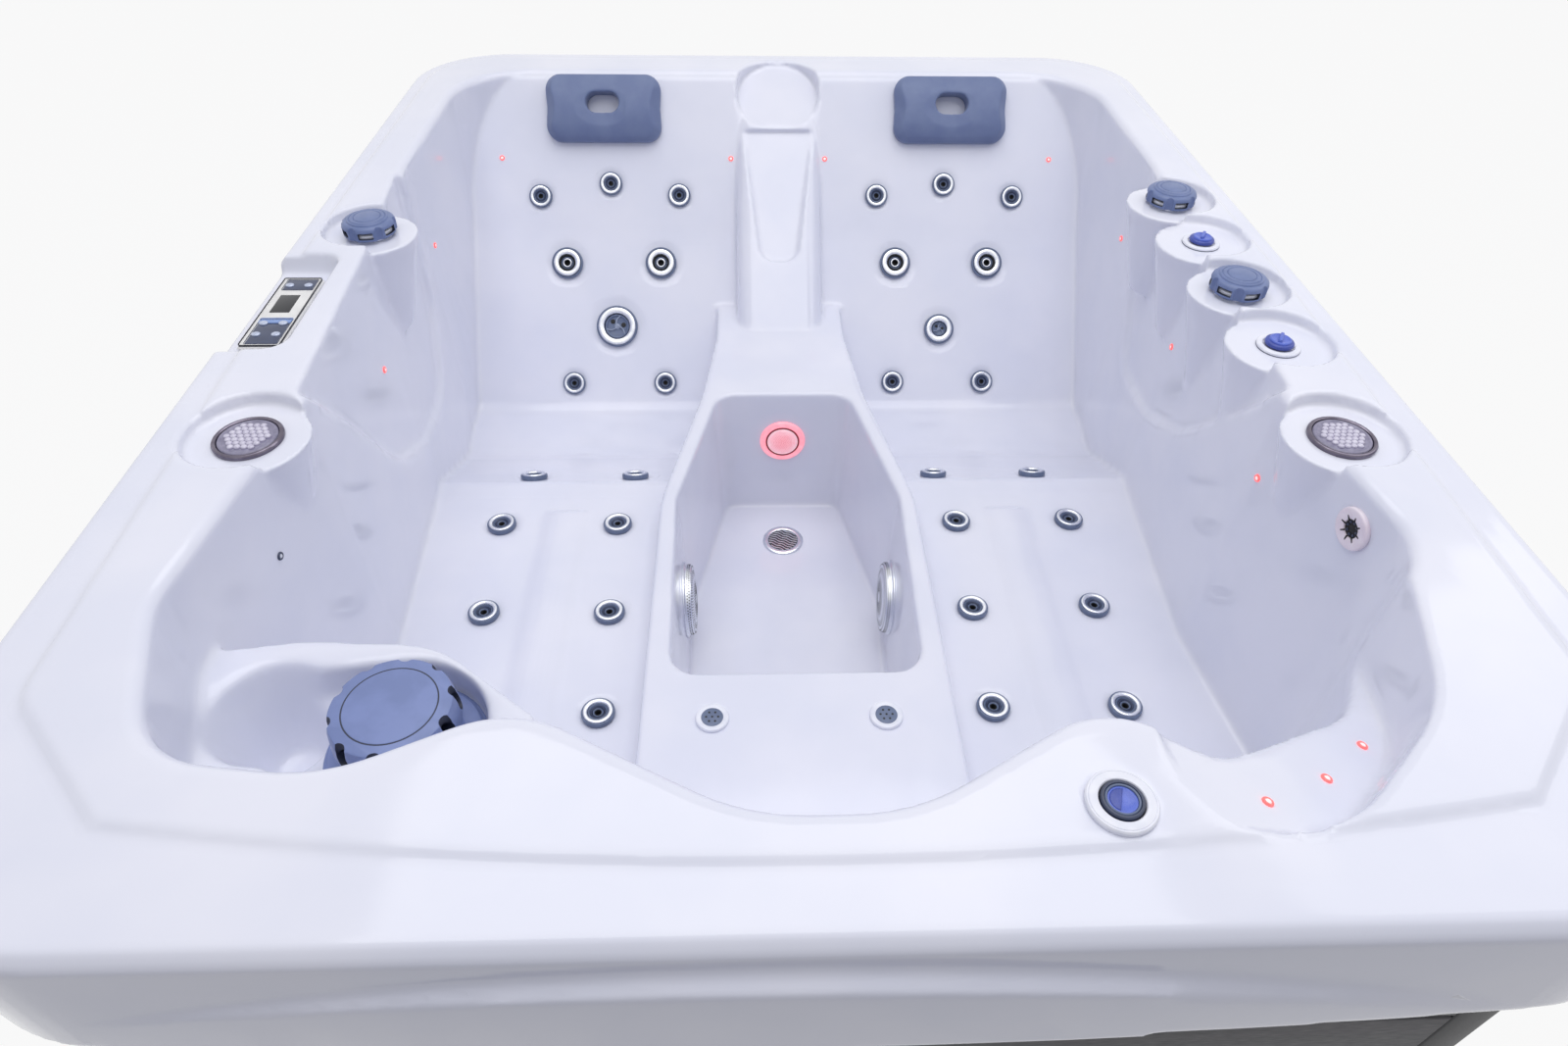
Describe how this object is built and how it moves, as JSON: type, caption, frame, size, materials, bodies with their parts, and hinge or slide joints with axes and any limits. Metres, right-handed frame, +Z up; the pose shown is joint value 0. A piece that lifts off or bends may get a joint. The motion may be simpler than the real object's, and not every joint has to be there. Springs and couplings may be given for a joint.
{
  "type": "hot tub",
  "caption": "Rectangular acrylic hot tub with two loungers side by side, a central footwell, front seat, filter well, jets, rim controls and headrests on a planked cabinet",
  "frame": {"origin": "on the floor under the middle of the tub", "axes": "X to the right seen from the seat end, Y towards the headrests, Z up"},
  "size_m": [1.6, 2.116, 0.8175],
  "materials": {
    "acrylic": "glossy pearl white, faint marbling",
    "cabinet_planks": "dark wood-look planks",
    "corner_trim": "matt",
    "galvanised_steel": "galvanised",
    "tray_plastic": "matt",
    "jet_steel": "satin caps on dark plastic",
    "slate_plastic": "satin slate blue",
    "white_plastic": "glossy",
    "blue_plastic": "glossy",
    "chrome_ring": "bright",
    "clear_lens": "clear, lit from behind",
    "pearl_grille": "pearl grey",
    "panel_frame": "satin",
    "dark_screen": "glossy",
    "key_rubber": "satin",
    "headrest_foam": "matt skin",
    "filter_fabric": "pleated",
    "black_plastic": "matt",
    "motor_metal": "satin",
    "pvc": "white pipe"
  },
  "bodies": {
    "tub": {"air_blower": "black_plastic", "air_injectors": "white_plastic", "air_valves": "white_plastic", "back_panel": "cabinet_planks", "base_pan": "tray_plastic", "button_bezel": "white_plastic", "control_box": "black_plastic", "corner_trims": "corner_trim", "diverter_valves": "chrome_ring", "drain_valve": "black_plastic", "filter_canister": "white_plastic", "filter_collar": "slate_plastic", "floor_drain": "pearl_grille", "frame_posts": "galvanised_steel", "frame_rails": "galvanised_steel", "front_panel": "cabinet_planks", "heater": "motor_metal", "lamp_lenses": "clear_lens", "lamp_rings": "chrome_ring", "led_points": "clear_lens", "left_panel": "cabinet_planks", "light_housing": "white_plastic", "light_lens": "clear_lens", "medium_jet_bodies": "slate_plastic", "panel_face": "dark_screen", "panel_housing": "panel_frame", "pipework": "pvc", "pump_housing": "black_plastic", "pump_motor": "motor_metal", "return_fitting": "white_plastic", "right_panel": "cabinet_planks", "rotary_jet_bodies": "slate_plastic", "shell": "acrylic", "small_jets": "jet_steel", "suction_covers": "pearl_grille"},
    "filter": {"filter_lid": "slate_plastic", "filter_cartridge": "filter_fabric"},
    "diverter_left": {"diverter_knob_left": "slate_plastic"},
    "diverter_right_rear": {"diverter_knob_right_rear": "slate_plastic"},
    "diverter_right_front": {"diverter_knob_right_front": "slate_plastic"},
    "air_rear": {"air_knob_rear": "blue_plastic"},
    "air_front": {"air_knob_front": "blue_plastic"},
    "nozzle_left_inner": {"medium_nozzle_left_inner": "jet_steel"},
    "nozzle_left_outer": {"medium_nozzle_left_outer": "jet_steel"},
    "nozzle_right_inner": {"medium_nozzle_right_inner": "jet_steel"},
    "nozzle_right_outer": {"medium_nozzle_right_outer": "jet_steel"},
    "spinner_left": {"rotor_left": "slate_plastic"},
    "spinner_right": {"rotor_right": "slate_plastic"},
    "button": {"pump_button": "blue_plastic"},
    "key_1": {"panel_key_1": "key_rubber"},
    "key_2": {"panel_key_2": "key_rubber"},
    "key_3": {"panel_key_3": "key_rubber"},
    "key_4": {"panel_key_4": "key_rubber"},
    "key_5": {"panel_key_5": "key_rubber"},
    "key_6": {"panel_key_6": "key_rubber"},
    "headrest_left": {"pillow_left": "headrest_foam"},
    "headrest_right": {"pillow_right": "headrest_foam"},
    "impeller": {"impeller": "black_plastic"},
    "drain_cap": {"drain_cap": "black_plastic"}
  },
  "joints": [
    {"name": "filter_lift", "type": "slide", "parent": "tub", "child": "filter", "axis": [0, 0, 1], "range_m": [0, 0.36]},
    {"name": "diverter_turn_left", "type": "hinge", "parent": "tub", "child": "diverter_left", "pos_m": [-0.688, 0.15, 0.786], "axis": [0, 0, 1], "range_deg": [-90, 90]},
    {"name": "diverter_turn_right_rear", "type": "hinge", "parent": "tub", "child": "diverter_right_rear", "pos_m": [0.684, 0.27, 0.786], "axis": [0, 0, 1], "range_deg": [-90, 90]},
    {"name": "diverter_turn_right_front", "type": "hinge", "parent": "tub", "child": "diverter_right_front", "pos_m": [0.686, -0.045, 0.786], "axis": [0, 0, 1], "range_deg": [-90, 90]},
    {"name": "air_turn_rear", "type": "hinge", "parent": "tub", "child": "air_rear", "pos_m": [0.688, 0.118, 0.786], "axis": [0, 0, 1], "range_deg": [0, 180]},
    {"name": "air_turn_front", "type": "hinge", "parent": "tub", "child": "air_front", "pos_m": [0.688, -0.2, 0.786], "axis": [0, 0, 1], "range_deg": [0, 180]},
    {"name": "nozzle_turn_left_inner", "type": "hinge", "parent": "tub", "child": "nozzle_left_inner", "pos_m": [-0.268, 0.66975, 0.463], "axis": [0, -0.7771, 0.6293], "range_deg": [0, 90]},
    {"name": "nozzle_turn_left_outer", "type": "hinge", "parent": "tub", "child": "nozzle_left_outer", "pos_m": [-0.48, 0.66975, 0.463], "axis": [0, -0.7771, 0.6293], "range_deg": [0, 90]},
    {"name": "nozzle_turn_right_inner", "type": "hinge", "parent": "tub", "child": "nozzle_right_inner", "pos_m": [0.268, 0.66975, 0.463], "axis": [0, -0.7771, 0.6293], "range_deg": [0, 90]},
    {"name": "nozzle_turn_right_outer", "type": "hinge", "parent": "tub", "child": "nozzle_right_outer", "pos_m": [0.48, 0.66975, 0.463], "axis": [0, -0.7771, 0.6293], "range_deg": [0, 90]},
    {"name": "rotor_spin_left", "type": "hinge", "parent": "tub", "child": "spinner_left", "pos_m": [-0.37, 0.57986, 0.352], "axis": [0, -0.7771, 0.6293], "continuous": true},
    {"name": "rotor_spin_right", "type": "hinge", "parent": "tub", "child": "spinner_right", "pos_m": [0.37, 0.57501, 0.346], "axis": [0, -0.7771, 0.6293], "continuous": true},
    {"name": "button_press", "type": "slide", "parent": "tub", "child": "button", "axis": [0, 0, -1], "range_m": [0, 0.003], "stiffness_N_per_m": 600},
    {"name": "key_press_1", "type": "slide", "parent": "tub", "child": "key_1", "axis": [0, 0, -1], "range_m": [0, 0.0008], "stiffness_N_per_m": 800},
    {"name": "key_press_2", "type": "slide", "parent": "tub", "child": "key_2", "axis": [0, 0, -1], "range_m": [0, 0.0008], "stiffness_N_per_m": 800},
    {"name": "key_press_3", "type": "slide", "parent": "tub", "child": "key_3", "axis": [0, 0, -1], "range_m": [0, 0.0008], "stiffness_N_per_m": 800},
    {"name": "key_press_4", "type": "slide", "parent": "tub", "child": "key_4", "axis": [0, 0, -1], "range_m": [0, 0.0008], "stiffness_N_per_m": 800},
    {"name": "key_press_5", "type": "slide", "parent": "tub", "child": "key_5", "axis": [0, 0, -1], "range_m": [0, 0.0008], "stiffness_N_per_m": 800},
    {"name": "key_press_6", "type": "slide", "parent": "tub", "child": "key_6", "axis": [0, 0, -1], "range_m": [0, 0.0008], "stiffness_N_per_m": 800},
    {"name": "pillow_pull_left", "type": "slide", "parent": "tub", "child": "headrest_left", "axis": [0, -0.8383, 0.5452], "range_m": [0, 0.05]},
    {"name": "pillow_pull_right", "type": "slide", "parent": "tub", "child": "headrest_right", "axis": [0, -0.8383, 0.5452], "range_m": [0, 0.05]},
    {"name": "impeller_spin", "type": "hinge", "parent": "tub", "child": "impeller", "pos_m": [-0.42, -0.22, 0.13], "axis": [0, 1, 0], "continuous": true},
    {"name": "drain_cap_turn", "type": "hinge", "parent": "tub", "child": "drain_cap", "pos_m": [0.43, -1.022, 0.06], "axis": [0, -1, 0], "range_deg": [0, 180]}
  ]
}
